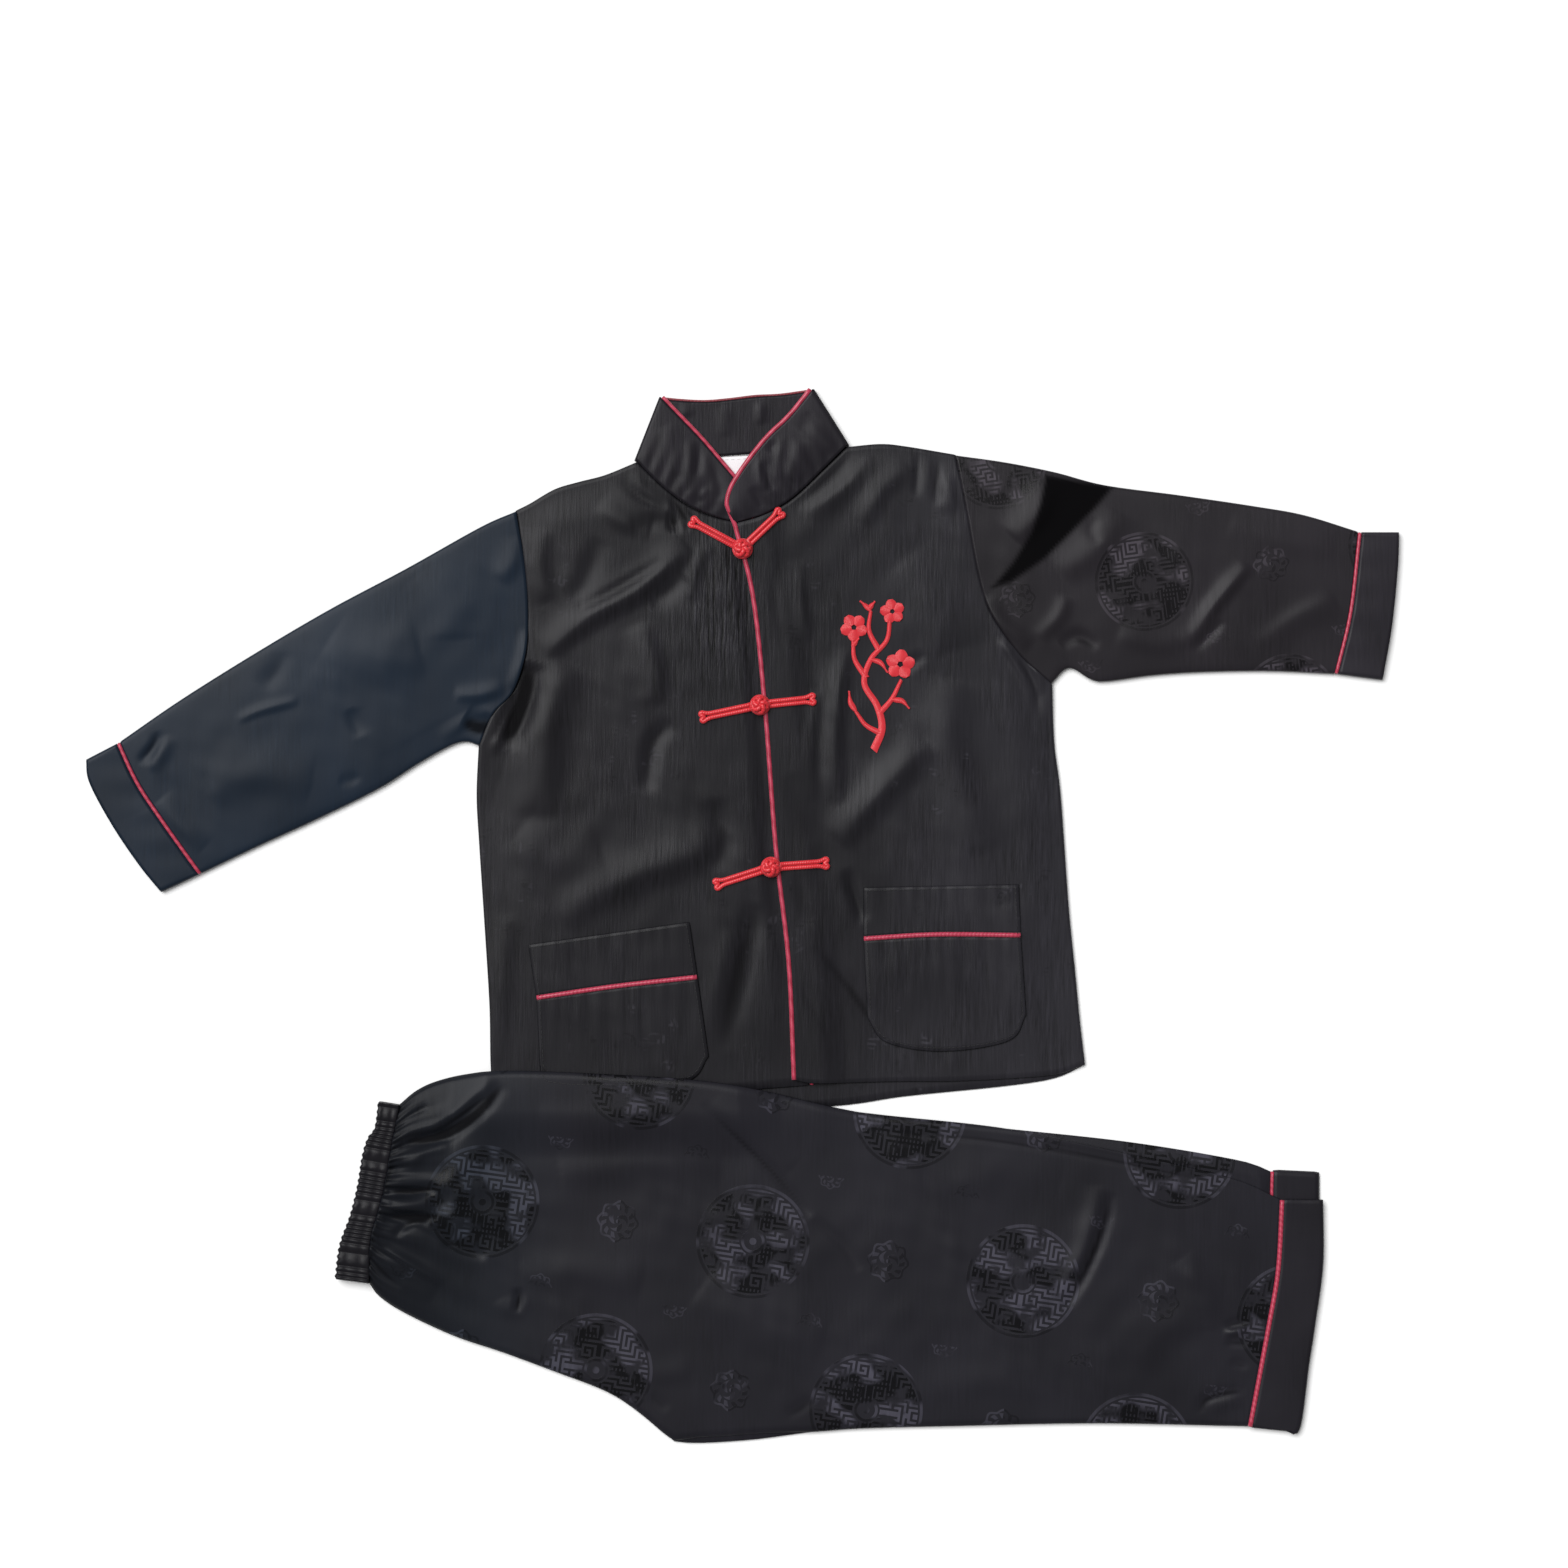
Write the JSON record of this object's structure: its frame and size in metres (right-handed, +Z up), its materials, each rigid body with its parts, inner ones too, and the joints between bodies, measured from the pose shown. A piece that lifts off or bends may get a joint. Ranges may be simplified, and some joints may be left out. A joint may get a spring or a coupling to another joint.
{
  "type": "tai chi uniform",
  "caption": "Child's jacket with stand collar, frog closures and patch pockets, and elastic-waist trousers, laid flat as a set.",
  "frame": {"origin": "on the surface that the suit lies on, below the middle of its box", "axes": "+X to the right and +Y to the top of the laid-out suit as seen from above, +Z up from the surface"},
  "size_m": [0.8206, 0.6601, 0.0134],
  "materials": {
    "black_satin": "black satin brocade with tone-on-tone round medallions, soft sheen",
    "blue_black_satin": "blue-black satin, plain, soft sheen",
    "red_piping": "red satin piping with a pink sheen",
    "red_cord": "bright red satin cord",
    "white_label": "plain white woven label, blank"
  },
  "bodies": {
    "root": {"jacket_back": "black_satin", "jacket_front_left": "black_satin", "jacket_front_right": "black_satin", "sleeve_left": "black_satin", "sleeve_right": "blue_black_satin", "cuff_left": "black_satin", "cuff_right": "blue_black_satin", "collar": "black_satin", "neck_label": "white_label", "pocket_left": "black_satin", "pocket_right": "black_satin", "pocket_band_left": "black_satin", "pocket_band_right": "black_satin", "piping_front_left": "red_piping", "piping_front_right": "red_piping", "piping_collar_back": "red_piping", "piping_cuff_left": "red_piping", "piping_cuff_right": "red_piping", "piping_pocket_left": "red_piping", "piping_pocket_right": "red_piping", "piping_leg_over": "red_piping", "piping_leg_under": "red_piping", "frog_1_knot": "red_cord", "frog_1_left_arm": "red_cord", "frog_1_right_arm": "red_cord", "frog_2_knot": "red_cord", "frog_2_left_arm": "red_cord", "frog_2_right_arm": "red_cord", "frog_3_knot": "red_cord", "frog_3_left_arm": "red_cord", "frog_3_right_arm": "red_cord", "leg_over": "black_satin", "leg_under": "black_satin", "waistband_over": "black_satin", "waistband_under": "black_satin", "leg_cuff_over": "black_satin", "leg_cuff_under": "black_satin"}
  },
  "joints": []
}
